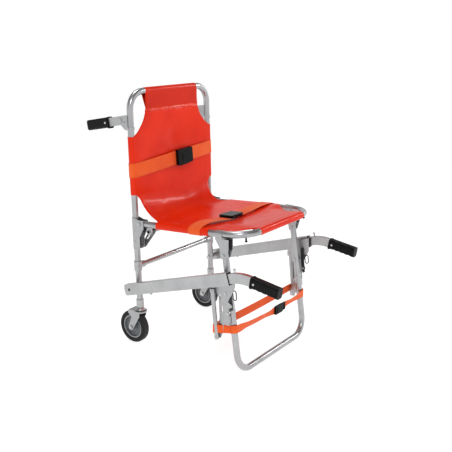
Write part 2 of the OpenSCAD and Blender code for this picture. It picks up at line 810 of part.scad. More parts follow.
back_frame();
rear_crossbar();
crossbar_tees();
hinge_brackets();
seat_hinge_bolts();
bracket_rivets();
stem_collars();
caster_stems();
rear_handle_brackets();
rear_handle_bolts();
rail_pivot_bolts();
rail_pivot_spacers();
lock_pins();
back_sling();
chest_strap();
chest_buckle();
chest_tongue();
chest_button();
right() caster_left() caster_fork();  // caster_fork_right
right() caster_left() caster_axle();  // caster_axle_right
right() caster_left() wheel_hub();  // wheel_hub_right
right() caster_left() tyre();  // tyre_right
caster_left() caster_fork();  // caster_fork_left
caster_left() caster_axle();  // caster_axle_left
caster_left() wheel_hub();  // wheel_hub_left
caster_left() tyre();  // tyre_left
right() rear_handle_arm();  // rear_handle_arm_right
right() rear_grip();  // rear_grip_right
rear_handle_arm();  // rear_handle_arm_left
rear_grip();  // rear_grip_left
seat_frame();
seat_sling();
sling_bend();
lap_strap();
lap_buckle();
lap_tongue();
leg_brackets();
leg_hinge_bolts();
lock_bar();
lock_links();
front_leg();
right() leg_channel();  // leg_channel_right
leg_channel();  // leg_channel_left
leg_struts();
leg_bolts();
leg_plugs();
right() rail_latch();  // rail_latch_right
rail_latch();  // rail_latch_left
ankle_strap();
ankle_buckle();
right() carry_rail();  // carry_rail_right
right() rail_bush();  // rail_bush_right
carry_rail();  // carry_rail_left
rail_bush();  // rail_bush_left
right() front_handle_bar();  // front_handle_bar_right
right() front_grip();  // front_grip_right
front_handle_bar();  // front_handle_bar_left
front_grip();  // front_grip_left
right() lock_knob();  // lock_knob_right
lock_knob();  // lock_knob_left
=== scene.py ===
"""Stair chair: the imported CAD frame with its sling, straps, small trim and finishes.

Metres throughout, in the row frame: +Z up, the chair faces -Y, origin on the floor.
"""
import math

import bmesh
import bpy
from mathutils import Matrix, Vector, noise


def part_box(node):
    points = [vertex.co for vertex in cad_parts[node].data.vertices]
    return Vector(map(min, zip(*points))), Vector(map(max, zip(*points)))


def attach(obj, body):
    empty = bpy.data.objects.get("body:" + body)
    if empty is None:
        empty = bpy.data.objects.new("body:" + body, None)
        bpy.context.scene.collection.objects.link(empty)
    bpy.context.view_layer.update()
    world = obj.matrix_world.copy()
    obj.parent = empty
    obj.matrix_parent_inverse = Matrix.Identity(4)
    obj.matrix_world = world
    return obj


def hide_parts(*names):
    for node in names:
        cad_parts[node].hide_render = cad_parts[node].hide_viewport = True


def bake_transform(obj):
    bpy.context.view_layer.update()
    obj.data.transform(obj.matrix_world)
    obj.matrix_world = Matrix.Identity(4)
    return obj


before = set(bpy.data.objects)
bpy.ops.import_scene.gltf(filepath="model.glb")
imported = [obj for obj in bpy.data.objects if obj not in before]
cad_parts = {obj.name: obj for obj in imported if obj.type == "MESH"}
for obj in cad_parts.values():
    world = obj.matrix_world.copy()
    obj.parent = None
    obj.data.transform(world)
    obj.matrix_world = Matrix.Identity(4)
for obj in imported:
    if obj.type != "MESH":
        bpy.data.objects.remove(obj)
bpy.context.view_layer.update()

# Layout values that part.scad holds too. A distance s is counted forward from REAR_Y.
REAR_Y = 0.1965
HALF_W = 0.208  # middle of the chair to the axis of a side tube
CLOTH_T = 0.0012
WRAP_R = 0.012  # tube axis to the middle of the cloth round it
TOP_Z = 0.8974  # axis of the top bar, in the back's frame
HINGE_S, HINGE_Z = 0.015, 0.452
RAIL_S, RAIL_Z = -0.00529, 0.22034
SEAT_LEN = 0.43788  # seat hinge to the axis of the front bar
BACK_LEAN, SEAT_SLOPE, RAIL_SLOPE = math.radians(1.375), math.radians(3.63), math.radians(16.94)
STRAP_W, STRAP_T = 0.050, 0.0013
STRAP_OFF = 0.0137  # tube axis to the middle of a strap that lies over the sling
ANKLE_W = 0.028

# The sling's top weld, and the cloth left below it
WELD_Z = 0.831
SEAM = 0.007
# Cloth travel from the sling's rear end, up and over the top bar, down to the weld
WELD_TRAVEL = 2 * (TOP_Z - WELD_Z) + math.pi * WRAP_R + SEAM


def tilted(s, z, lean):
    """A local frame as in part.scad: forward is -Y, tilted about X through a point."""
    return Matrix.Translation((0, REAR_Y - s, z)) @ Matrix.Rotation(-lean, 4, "X")


BACK = tilted(0, 0, BACK_LEAN)
SEAT = tilted(HINGE_S, HINGE_Z, SEAT_SLOPE)
RAIL = tilted(RAIL_S, RAIL_Z, RAIL_SLOPE)


def mixed(a, b, t):
    return a + (b - a) * t


def smooth(t):
    t = min(max(t, 0.0), 1.0)
    return t * t * (3 - 2 * t)


def curve_through(points, value):
    """y at x = value on straight lines between a few (x, y) points in rising x."""
    if value <= points[0][0]:
        return points[0][1]
    for (x0, y0), (x1, y1) in zip(points, points[1:]):
        if value <= x1:
            return mixed(y0, y1, (value - x0) / (x1 - x0))
    return points[-1][1]


# ---------------------------------------------------------------- mesh helpers
def mesh_object(name, verts, faces, uvs=None):
    mesh = bpy.data.meshes.new(name)
    mesh.from_pydata([tuple(v) for v in verts], [], faces)
    if uvs:
        layer = mesh.uv_layers.new(name="cloth")
        for loop in mesh.loops:
            layer.data[loop.index].uv = uvs[loop.vertex_index]
    mesh.validate()
    obj = bpy.data.objects.new(name, mesh)
    bpy.context.scene.collection.objects.link(obj)
    return obj


def settle(obj, angle=40):
    """Applies the modifiers and leaves smooth faces with sharp creases over the angle."""
    bpy.context.view_layer.update()
    graph = bpy.context.evaluated_depsgraph_get()
    mesh = bpy.data.meshes.new_from_object(obj.evaluated_get(graph))
    obj.modifiers.clear()
    obj.data = mesh
    bm = bmesh.new()
    bm.from_mesh(mesh)
    bmesh.ops.recalc_face_normals(bm, faces=bm.faces)
    for face in bm.faces:
        face.smooth = True
    for edge in bm.edges:
        edge.smooth = edge.calc_face_angle(0) < math.radians(angle)
    bm.to_mesh(mesh)
    bm.free()
    return obj


def thicken(obj, thickness):
    modifier = obj.modifiers.new("thickness", "SOLIDIFY")
    modifier.thickness = thickness
    modifier.offset = 0
    modifier.use_even_offset = True
    return obj


def finish_with(obj, look, body=None):
    obj.data.materials.clear()
    obj.data.materials.append(look)
    if body:
        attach(obj, body)
    return obj


# ---------------------------------------------------------------- materials
class Look:
    """One procedural material, built from a Principled shader and object coordinates."""

    def __init__(self, name, **settings):
        self.mat = bpy.data.materials.new(name)
        self.mat.use_nodes = True
        self.tree = self.mat.node_tree
        self.shader = self.tree.nodes["Principled BSDF"]
        for key, value in settings.items():
            self.shader.inputs[key.replace("_", " ")].default_value = value
        self.place = self.node("ShaderNodeTexCoord").outputs["Object"]
        self.normal = None

    def node(self, kind, **settings):
        made = self.tree.nodes.new(kind)
        for key, value in settings.items():
            setattr(made, key, value)
        return made

    def put(self, socket, value):
        if isinstance(value, bpy.types.NodeSocket):
            self.tree.links.new(value, socket)
        else:
            socket.default_value = value

    def scaled(self, scale, place=None):
        made = self.node("ShaderNodeMapping")
        self.put(made.inputs["Vector"], place or self.place)
        made.inputs["Scale"].default_value = scale
        return made.outputs["Vector"]

    def cloth_uv(self):
        return self.node("ShaderNodeUVMap", uv_map="cloth").outputs["UV"]

    def noise(self, size, detail=3.0, stretch=(1, 1, 1), rough=0.5, place=None):
        made = self.node("ShaderNodeTexNoise")
        scale = tuple(k / size for k in stretch)
        self.put(made.inputs["Vector"], self.scaled(scale, place))
        made.inputs["Scale"].default_value = 1.0
        made.inputs["Detail"].default_value = detail
        made.inputs["Roughness"].default_value = rough
        return made.outputs["Fac"]

    def math(self, operation, a, b=0.0, clamp=False):
        made = self.node("ShaderNodeMath", operation=operation, use_clamp=clamp)
        self.put(made.inputs[0], a)
        self.put(made.inputs[1], b)
        return made.outputs[0]

    def ranged(self, value, low, high, to_low=0.0, to_high=1.0):
        made = self.node("ShaderNodeMapRange")
        self.put(made.inputs["Value"], value)
        for key, number in zip(("From Min", "From Max", "To Min", "To Max"),
                               (low, high, to_low, to_high)):
            made.inputs[key].default_value = number
        return made.outputs["Result"]

    def blend(self, factor, a, b):
        made = self.node("ShaderNodeMix", data_type="RGBA")
        self.put(made.inputs["Factor"], factor)
        for socket, value in ((made.inputs[6], a), (made.inputs[7], b)):
            if isinstance(value, tuple) and len(value) == 3:
                value = value + (1.0,)
            self.put(socket, value)
        return made.outputs[2]

    def rounded(self, radius):
        """Softens the edges; returns a mask that is 1 on an edge."""
        bevel = self.node("ShaderNodeBevel", samples=6)
        bevel.inputs["Radius"].default_value = radius
        facing = self.node("ShaderNodeNewGeometry").outputs["Normal"]
        dot = self.node("ShaderNodeVectorMath", operation="DOT_PRODUCT")
        self.put(dot.inputs[0], bevel.outputs["Normal"])
        self.put(dot.inputs[1], facing)
        self.normal = bevel.outputs["Normal"]
        return self.ranged(dot.outputs["Value"], 0.985, 0.80)

    def bump(self, height, distance, strength=1.0):
        made = self.node("ShaderNodeBump")
        made.inputs["Strength"].default_value = strength
        made.inputs["Distance"].default_value = distance
        self.put(made.inputs["Height"], height)
        if self.normal is not None:
            self.put(made.inputs["Normal"], self.normal)
        self.normal = made.outputs["Normal"]

    def done(self, **links):
        for key, value in links.items():
            self.put(self.shader.inputs[key.replace("_", " ")], value)
        if self.normal is not None:
            self.put(self.shader.inputs["Normal"], self.normal)
        return self.mat


LINE_DEPTH = 0.00003  # depth of the draw lines in bare metal


def metal(name, dark, light, rough, along, edge=0.0006, lines=1.0, mottle=0.03):
    """Bare metal with draw lines along one axis, faint smudges and worn bright edges."""
    look = Look(name, Metallic=1.0)
    smudge = look.noise(mottle, 3, rough=0.5)
    line = look.noise(0.0009, 2, tuple(0.02 if axis == along else 1.0 for axis in "xyz"))
    scuff = look.noise(0.007, 4, tuple(0.12 if axis == along else 1.0 for axis in "xyz"), 0.6)
    wear = look.rounded(edge) if edge else 0.0
    tone = look.ranged(look.math("ADD", smudge, look.math("MULTIPLY", line, 0.25)), 0.40, 0.90)
    colour = look.blend(tone, dark, light)
    colour = look.blend(look.ranged(scuff, 0.62, 0.80, 0.0, 0.18), colour,
                        tuple(c * 0.75 for c in dark))
    if edge:
        colour = look.blend(look.math("MULTIPLY", wear, 0.6), colour,
                            tuple(min(1.0, c * 1.15) for c in light))
    roughness = look.ranged(smudge, 0.3, 0.7, rough * 0.95, rough * 1.15)
    roughness = look.math("ADD", roughness, look.ranged(scuff, 0.58, 0.78, 0.0, 0.06))
    look.bump(line, LINE_DEPTH * lines, 0.2)
    return look.done(Base_Color=colour, Roughness=roughness)


def sheet_metal(name, dark, light, rough, grain=0.006):
    """Zinc plated pressing: patchy crystal tone, small pits and rubbed edges."""
    look = Look(name, Metallic=1.0)
    cells = look.node("ShaderNodeTexVoronoi", feature="F1")
    look.put(cells.inputs["Vector"], look.scaled((1 / grain,) * 3))
    cells.inputs["Scale"].default_value = 1.0
    patch = look.noise(0.025, 4, rough=0.6)
    pits = look.noise(0.0012, 3)
    wear = look.rounded(0.0007)
    grey = look.node("ShaderNodeRGBToBW")
    look.put(grey.inputs["Color"], cells.outputs["Color"])
    tone = look.math("ADD", look.math("MULTIPLY", grey.outputs[0], 0.35),
                     look.math("MULTIPLY", patch, 0.8), True)
    colour = look.blend(tone, dark, light)
    colour = look.blend(look.math("MULTIPLY", wear, 0.7), colour,
                        tuple(min(1.0, c * 1.25) for c in light))
    roughness = look.ranged(patch, 0.3, 0.7, rough * 0.85, rough * 1.2)
    look.bump(pits, 0.00012, 0.45)
    return look.done(Base_Color=colour, Roughness=roughness)


def casting(name, dark, light, rough):
    """Tumbled casting: soft lumps, fine skin and polished corners."""
    look = Look(name, Metallic=1.0)
    lumps = look.noise(0.005, 4, rough=0.55)
    skin = look.noise(0.0008, 3)
    wear = look.rounded(0.0014)
    colour = look.blend(look.ranged(lumps, 0.3, 0.7), dark, light)
    colour = look.blend(look.math("MULTIPLY", wear, 0.5), colour, tuple(c * 1.15 for c in light))
    roughness = look.ranged(skin, 0.35, 0.65, rough * 0.8, rough * 1.2)
    look.bump(lumps, 0.0005, 0.35)
    look.bump(skin, 0.00012, 0.5)
    return look.done(Base_Color=colour, Roughness=roughness)


def moulded(name, dark, light, rough, pebble=0.0009, depth=0.00012, edge=0.0008, gloss=0.12):
    """Moulded rubber or plastic: fine pebble, faint dust, and softened edges lightened as wear and as
    a painted highlight.
    """
    look = Look(name, Specular_IOR_Level=gloss)
    cells = look.node("ShaderNodeTexVoronoi", feature="SMOOTH_F1")
    look.put(cells.inputs["Vector"], look.scaled((1 / pebble,) * 3))
    cells.inputs["Scale"].default_value = 1.0
    dust = look.noise(0.02, 5, rough=0.65)
    wear = look.rounded(edge)
    colour = look.blend(look.ranged(dust, 0.4, 0.75), dark, light)
    # Lighter edges: partly worn plastic, partly a painted highlight
    colour = look.blend(look.math("MULTIPLY", wear, 0.45), colour,
                        tuple(c * 1.6 + 0.004 for c in light))
    roughness = look.ranged(dust, 0.3, 0.7, rough * 0.85, rough * 1.2)
    look.bump(cells.outputs["Distance"], depth, 0.6)
    return look.done(Base_Color=colour, Roughness=roughness)


THREAD_PITCH = 0.0011
WAVE_PERIOD = 0.3142  # length of one band of Blender's wave texture at scale 1
FOLD_HIGHLIGHT_BELOW = 0.0095  # the middle of the painted highlight on the fold lies this far past the weld
FOLD_HIGHLIGHT_CORE, FOLD_HIGHLIGHT_FADE = 0.0012, 0.0045


def vinyl_look():
    """Coated fabric: glossy red orange skin over a weave that shows faintly through.

    In the cloth's UV map the first value is travel down the sling and the second is x.
    """
    look = Look("sling_vinyl", Specular_IOR_Level=0.10, Coat_Weight=0.11, Coat_Roughness=0.07)
    uv = look.cloth_uv()
    ribs = []
    for axis in (0, 1):
        wave = look.node("ShaderNodeTexWave", wave_type="BANDS",
                         bands_direction="XY"[axis], wave_profile="SIN")
        look.put(wave.inputs["Vector"], look.scaled((1, 1, 1), uv))
        wave.inputs["Scale"].default_value = WAVE_PERIOD / THREAD_PITCH
        ribs.append(wave.outputs["Fac"])
    weave = look.math("MULTIPLY", ribs[0], ribs[1])
    crease = look.noise(0.012, 5, rough=0.7)
    broad = look.noise(0.09, 3)
    colour = look.blend(look.ranged(broad, 0.3, 0.7), (0.69, 0.018, 0.0015), (0.80, 0.027, 0.0026))
    colour = look.blend(look.ranged(crease, 0.60, 0.80, 0.0, 0.22), colour, (0.86, 0.050, 0.014))

    # Painted shade: the cloth above the weld, which lies doubled, is made darker
    split = look.node("ShaderNodeSeparateXYZ")
    look.put(split.inputs[0], uv)
    travel, across = split.outputs[0], split.outputs[1]
    painted_neck_shade = look.ranged(travel, WELD_TRAVEL - 0.002, WELD_TRAVEL, 0.42, 0.0)
    colour = look.blend(painted_neck_shade, colour, (0.40, 0.010, 0.0012))

    # A painted highlight lies pale on the rumpled fold just below the weld, in patches along a
    # wandering line
    rumple = look.noise(0.010, 4, (1, 0.6, 1), 0.65, uv)
    wander = look.math("MULTIPLY", look.noise(0.035, 2, place=uv), 0.012)
    off_fold = look.math("ABSOLUTE", look.math(
        "SUBTRACT", look.math("ADD", travel, wander), WELD_TRAVEL + FOLD_HIGHLIGHT_BELOW))
    painted_fold_highlight = look.math("MULTIPLY", look.ranged(off_fold, FOLD_HIGHLIGHT_CORE, FOLD_HIGHLIGHT_FADE, 1.0, 0.0),
                       look.ranged(rumple, 0.42, 0.60, 0.0, 0.75))
    inside = look.ranged(look.math("ABSOLUTE", across), 0.100, 0.132, 1.0, 0.0)
    colour = look.blend(look.math("MULTIPLY", painted_fold_highlight, inside), colour, (0.98, 0.33, 0.24))
    wear = look.rounded(0.0004)
    colour = look.blend(look.math("MULTIPLY", wear, 0.3), colour, (0.95, 0.14, 0.06))
    roughness = look.math("ADD", look.ranged(crease, 0.3, 0.7, 0.26, 0.38),
                          look.math("MULTIPLY", weave, 0.05))
    look.bump(weave, 0.00005, 0.5)
    look.bump(crease, 0.0005, 0.22)
    look.bump(broad, 0.003, 0.30)
    return look.done(Base_Color=colour, Roughness=roughness)


ENDS_PITCH, PICKS_PITCH = 0.0016, 0.0012
SELVEDGE = (0.0205, 0.0225)  # from the middle of a full width strap


def webbing_look():
    """Woven polyester strap: ribs across, a twill of ends along, darker selvedges."""
    look = Look("webbing", Sheen_Weight=0.12, Sheen_Roughness=0.4, Specular_IOR_Level=0.2)
    uv = look.cloth_uv()
    split = look.node("ShaderNodeSeparateXYZ")
    look.put(split.inputs[0], uv)
    along, across = split.outputs[0], split.outputs[1]

    def ridges(value, pitch):
        return look.math("ADD", look.math("MULTIPLY", look.math(
            "SINE", look.math("MULTIPLY", value, 2 * math.pi / pitch)), 0.5), 0.5)

    ends = ridges(across, ENDS_PITCH)
    zigzag = look.math("MULTIPLY", look.math("PINGPONG", across, 2 * ENDS_PITCH), 0.6)
    picks = ridges(look.math("ADD", along, zigzag), PICKS_PITCH)
    weave = look.math("ADD", look.math("MULTIPLY", ends, 0.55), look.math("MULTIPLY", picks, 0.45))
    fuzz = look.noise(0.0006, 3)
    wash = look.noise(0.03, 4)
    selvedge = look.ranged(look.math("ABSOLUTE", look.math("SUBTRACT", across, 0.5 * STRAP_W)),
                           *SELVEDGE)
    colour = look.blend(weave, (0.72, 0.058, 0.006), (0.93, 0.140, 0.019))
    colour = look.blend(look.ranged(wash, 0.35, 0.75, 0.0, 0.3), colour, (0.93, 0.19, 0.038))
    colour = look.blend(look.math("MULTIPLY", selvedge, 0.25), colour, (0.6, 0.06, 0.01))
    roughness = look.ranged(fuzz, 0.3, 0.7, 0.50, 0.72)
    look.bump(weave, 0.00022, 0.8)
    look.bump(fuzz, 0.00008, 0.5)
    return look.done(Base_Color=colour, Roughness=roughness)


def thread_look():
    """Twisted sewing thread."""
    look = Look("thread", Sheen_Weight=0.3)
    twist = look.noise(0.0005, 2, (1, 1, 0.4))
    look.bump(twist, 0.0001, 0.7)
    return look.done(Base_Color=look.blend(twist, (0.50, 0.05, 0.01), (0.85, 0.17, 0.04)),
                     Roughness=look.ranged(twist, 0.3, 0.7, 0.5, 0.7))


def radial(look, centre_y, centre_z):
    """Distance from a wheel's axle, which runs along X."""
    shift = look.node("ShaderNodeVectorMath", operation="SUBTRACT")
    look.put(shift.inputs[0], look.place)
    shift.inputs[1].default_value = (0, centre_y, centre_z)
    flat = look.node("ShaderNodeVectorMath", operation="MULTIPLY")
    look.put(flat.inputs[0], shift.outputs[0])
    flat.inputs[1].default_value = (0, 1, 1)
    size = look.node("ShaderNodeVectorMath", operation="LENGTH")
    look.put(size.inputs[0], flat.outputs[0])
    return size.outputs["Value"]


# Radii on the wheel, from its axle
RIM_INNER, RIM_OUTER = (0.0385, 0.0400), (0.0430, 0.0420)
TREAD = (0.0565, 0.0595)
RING_PITCH = 0.0022


def wheel_looks(centre_y, centre_z):
    """Grey hub with a lighter rubbed rim, and a near black tyre with turned rings."""
    hub = Look("hub_plastic", Specular_IOR_Level=0.45)
    dust = hub.noise(0.012, 5, rough=0.65)
    fine = hub.noise(0.0009, 3)
    wear = hub.rounded(0.0007)
    radius = radial(hub, centre_y, centre_z)
    rim = hub.math("MULTIPLY", hub.ranged(radius, *RIM_INNER), hub.ranged(radius, *RIM_OUTER))
    colour = hub.blend(hub.ranged(dust, 0.35, 0.7), (0.105, 0.115, 0.125), (0.155, 0.165, 0.175))
    colour = hub.blend(hub.math("MULTIPLY", rim, 0.75), colour, (0.42, 0.43, 0.44))
    colour = hub.blend(hub.math("MULTIPLY", wear, 0.5), colour, (0.40, 0.41, 0.42))
    hub.bump(fine, 0.0001, 0.4)
    hub_mat = hub.done(Base_Color=colour, Roughness=hub.ranged(dust, 0.3, 0.7, 0.38, 0.55))

    tyre = Look("tyre_rubber", Specular_IOR_Level=0.22)
    grit = tyre.noise(0.0012, 4, rough=0.6)
    dust = tyre.noise(0.015, 5, rough=0.65)
    radius = radial(tyre, centre_y, centre_z)
    rings = tyre.math("SINE", tyre.math("MULTIPLY", radius, 2 * math.pi / RING_PITCH))
    tread = tyre.ranged(radius, *TREAD)
    colour = tyre.blend(tyre.ranged(dust, 0.4, 0.75), (0.010, 0.011, 0.012), (0.022, 0.023, 0.024))
    colour = tyre.blend(tyre.math("MULTIPLY", tread, tyre.ranged(grit, 0.35, 0.7)), colour,
                        (0.034, 0.034, 0.033))
    tyre.bump(rings, 0.0002, 0.35)
    tyre.bump(grit, 0.00025, 0.55)
    tyre_mat = tyre.done(Base_Color=colour, Roughness=tyre.ranged(dust, 0.3, 0.7, 0.55, 0.75))
    return hub_mat, tyre_mat


# Pairs of a dark and a light base colour
BRIGHT = ((0.37, 0.374, 0.383), (0.47, 0.474, 0.482))
SATIN = ((0.39, 0.395, 0.40), (0.51, 0.515, 0.52))
ZINC = ((0.33, 0.335, 0.34), (0.50, 0.505, 0.51))
looks = {
    "tube_bent": metal("bare_tube_bent", *BRIGHT, 0.30, "", edge=0, lines=0.15, mottle=0.05),
    "tube_z": metal("bare_tube_z", *BRIGHT, 0.27, "z", edge=0, lines=0.25),
    "tube_x": metal("bare_tube_x", *BRIGHT, 0.27, "x", edge=0, lines=0.25),
    "rail": metal("rail_aluminium", *SATIN, 0.36, "y", edge=0.0016, lines=1.6, mottle=0.05),
    "sheet": sheet_metal("bracket_sheet", *ZINC, 0.40),
    "fork": sheet_metal("zinc_steel", (0.32, 0.325, 0.33), (0.47, 0.475, 0.48), 0.42,
                        grain=0.004),
    "cast": casting("cast_fitting", (0.36, 0.365, 0.37), (0.52, 0.525, 0.53), 0.42),
    "dark": sheet_metal("dark_steel", (0.030, 0.031, 0.034), (0.08, 0.08, 0.085), 0.42),
    "stay": sheet_metal("stay_steel", (0.15, 0.155, 0.16), (0.27, 0.275, 0.28), 0.40),
    "bolt": metal("fastener_steel", (0.40, 0.405, 0.41), (0.60, 0.605, 0.61), 0.38, "x",
                  edge=0.0005),
    "grip": moulded("grip_rubber", (0.003, 0.003, 0.0035), (0.008, 0.008, 0.0085), 0.42,
                    pebble=0.0014, depth=0.00026, edge=0.0012),
    "black": moulded("black_plastic", (0.002, 0.002, 0.0025), (0.006, 0.006, 0.007), 0.28,
                     gloss=0.10),
    "vinyl": vinyl_look(),
    "webbing": webbing_look(),
    "thread": thread_look(),
}
# The look for each material slot of the CAD, and for straight tubes by their axis
SLOT_LOOKS = {
    "rail_aluminium": "rail", "bracket_sheet": "sheet", "cast_fitting": "cast",
    "zinc_steel": "fork", "dark_steel": "dark", "fastener_steel": "bolt",
    "grip_rubber": "grip", "black_plastic": "black", "sling_vinyl": "vinyl",
    "webbing": "webbing",
}
TUBE_AXES = {"leg_struts": "tube_z", "rear_crossbar": "tube_x", "lock_bar": "tube_x"}

axle_low, axle_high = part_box("caster_axle_left")
axle = (axle_low + axle_high) / 2
hub_look, tyre_look = wheel_looks(axle.y, axle.z)
for name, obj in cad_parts.items():
    slot = obj.data.materials[0].name.split(".")[0]
    if slot == "hub_plastic":
        look = hub_look
    elif slot == "tyre_rubber":
        look = tyre_look
    elif name == "lock_links":
        look = looks["stay"]
    elif slot == "bare_tube":
        look = looks[TUBE_AXES.get(name, "tube_bent")]
    else:
        look = looks[SLOT_LOOKS[slot]]
    for index in range(len(obj.data.materials)):
        obj.data.materials[index] = look

# ---------------------------------------------------------------- sling
NECK_W = 0.1395
WELD_IN = 0.030  # how far each sleeve's weld lies in from its tube
# Half width of the panel at a height on the back, and at a distance along the seat
FLARE = [(0.751, 0.208), (0.757, 0.196), (0.766, 0.184), (0.777, 0.173), (0.790, 0.161),
         (0.806, 0.151), (0.825, 0.1435), (0.850, NECK_W)]
CUT_OUT = [(0.300, 0.208), (0.306, 0.203), (0.322, 0.187), (0.340, 0.174), (0.357, 0.164),
           (0.375, 0.155), (0.393, 0.147), (0.415, 0.140), (0.438, 0.1345)]
# Where the side sleeves run, along the seat and up the back
SEAT_SLEEVE = (0.076, 0.300)
BACK_SLEEVE = (0.551, 0.750)
PANEL_W = 0.186  # half width that sags, between the stiff sleeves
# Free edges roll back a little over their hem
HEM_W, HEM_ROLL = 0.0065, 0.0026
# A weld presses a groove this wide into the panel
GROOVE_W, BACK_GROOVE, SEAT_GROOVE = 0.0022, 0.0012, 0.0008
LAP_GAP = 0.0014  # a sleeve's welded end lies this far behind the panel
WELD_N = WRAP_R - LAP_GAP  # and so this far in front of its tube's axis
# A station this near past a sleeve's end still carries the sleeve
SLEEVE_SLACK = 0.002
STRAIGHT_STEPS, WRAP_STEPS = 8, 16


def sleeve_path(weld, centre, stop_at):
    """Round a bar from a weld line: straight to the tangent, then round to stop_at degrees."""
    away = Vector(weld) - Vector(centre)
    tangent = math.degrees(math.atan2(away.y, away.x)) + math.degrees(
        math.acos(WRAP_R / away.length))
    touch = Vector(centre) + WRAP_R * Vector(
        (math.cos(math.radians(tangent)), math.sin(math.radians(tangent))))
    path = [Vector(weld).lerp(touch, i / STRAIGHT_STEPS) for i in range(STRAIGHT_STEPS)]
    turn = (stop_at - tangent) % 360
    for i in range(WRAP_STEPS):
        angle = math.radians(tangent + turn * i / WRAP_STEPS)
        path.append(Vector(centre) + WRAP_R * Vector((math.cos(angle), math.sin(angle))))
    return path


def ripple(x, y, z, size, seed):
    """Soft waves of about one size, between -1 and 1. The seed picks another pattern."""
    return noise.noise(Vector((x / size, y / size + seed, z / size - seed)))


def hump(distance, width):
    """A bell curve, 1 in the middle."""
    return math.exp(-(distance / width) ** 2)


def slack_across(x):
    return max(0.0, 1 - (x / PANEL_W) ** 2) ** 1.1


def back_depth(x, z):
    """How far the back panel lies behind its taut plane.

    It sags between its tubes, has one dimple and soft waves, and is grooved along the weld
    with a rumpled ridge below it. Amplitudes and widths are judged from the photograph.
    """
    across = slack_across(x)
    rise = smooth((0.885 - z) / 0.15)
    sag = 0.0085 * rise * mixed(0.62, 1.0, smooth((z - 0.545) / 0.12))
    dimple = 0.0060 * hump(x - 0.004, 0.034) * hump(z - 0.722, 0.030)
    waves = rise * (0.0024 * ripple(x, 0, z, 0.11, 3.1) + 0.0009 * ripple(x, 0, z, 0.035, 7.7))
    below = WELD_Z - z - 0.0045 - 0.003 * ripple(x, 0, 0, 0.030, 6.4)
    ridge = 0.0019 * hump(below, 0.0048) * max(0.0, 1 - (x / 0.136) ** 4)
    rumple = 0.75 + 1.5 * ripple(x, 0, z, 0.016, 9.2) + 0.5 * ripple(x, 0, z, 0.007, 2.2)
    groove = BACK_GROOVE * hump(z - WELD_Z, GROOVE_W)
    return across * (sag + dimple + waves) + groove - ridge * rumple


def seat_depth(x, y):
    """How far the seat panel lies below its taut plane, y along the seat from the hinge."""
    fall = smooth((0.425 - y) / 0.12)
    sag = 0.0062 * mixed(0.7, 1.0, smooth((y - 0.07) / 0.1))
    waves = 0.0022 * ripple(x, y, 0, 0.10, 5.9) + 0.0008 * ripple(x, y, 0, 0.035, 2.2)
    groove = SEAT_GROOVE * hump(y - (SEAT_LEN - WELD_IN), GROOVE_W)
    along_corner = math.sin(math.pi * min(max((y - 0.303) / 0.118, 0.0), 1.0))
    corner = 0.0080 * along_corner * smooth((abs(x) - 0.105) / 0.060)
    return slack_across(x) * fall * (sag + waves) + groove + corner


# The bend's Bezier handles are longer in the middle, and its free edges are cut in
BEND_REACH = (0.036, 0.058)
BEND_W = 0.19
BEND_CUT_IN, LEFT_CUT_IN = 0.0165, 0.020


def bend_place(x, t):
    """Place and normal on the bend, which hangs free between back and seat, t from 0 to 1."""
    start = BACK @ Vector((0, -WRAP_R, BACK_SLEEVE[0]))
    end = SEAT @ Vector((0, -SEAT_SLEEVE[0], WRAP_R))
    down = BACK.to_3x3() @ Vector((0, 0, -1))
    rear = SEAT.to_3x3() @ Vector((0, 1, 0))
    x -= LEFT_CUT_IN * math.sin(math.pi * t ** 1.5) * smooth(x / BEND_W) ** 2
    full = max(0.0, 1 - (x / BEND_W) ** 2)
    reach = mixed(*BEND_REACH, full)
    a, b = start + down * reach, end + rear * reach
    point = (start * (1 - t) ** 3 + a * 3 * t * (1 - t) ** 2
             + b * 3 * t * t * (1 - t) + end * t ** 3)
    slope = ((a - start) * 3 * (1 - t) ** 2 + (b - a) * 6 * t * (1 - t) + (end - b) * 3 * t * t)
    normal = Vector((1, 0, 0)).cross(slope).normalized()
    if normal.z < 0 or normal.y > 0.5:
        normal.negate()
    depth = mixed(back_depth(x, BACK_SLEEVE[0]), seat_depth(x, SEAT_SLEEVE[0]), smooth(t))
    fold = 0.0016 * math.sin(math.pi * t) * ripple(x, t * 0.1, 0, 0.055, 8.4)
    place = point - normal * (depth + fold)
    return Vector((x, place.y, place.z)), normal


# Stations down each stretch of the sling. The rumple below the weld needs fine ones.
SEAM_ROWS, TOP_ROWS, FINE_ROWS, BACK_ROWS, BEND_ROWS, SEAT_ROWS = 5, 12, 22, 58, 26, 76
FINE_HIGH, FINE_LOW = WELD_Z + 0.008, WELD_Z - 0.017


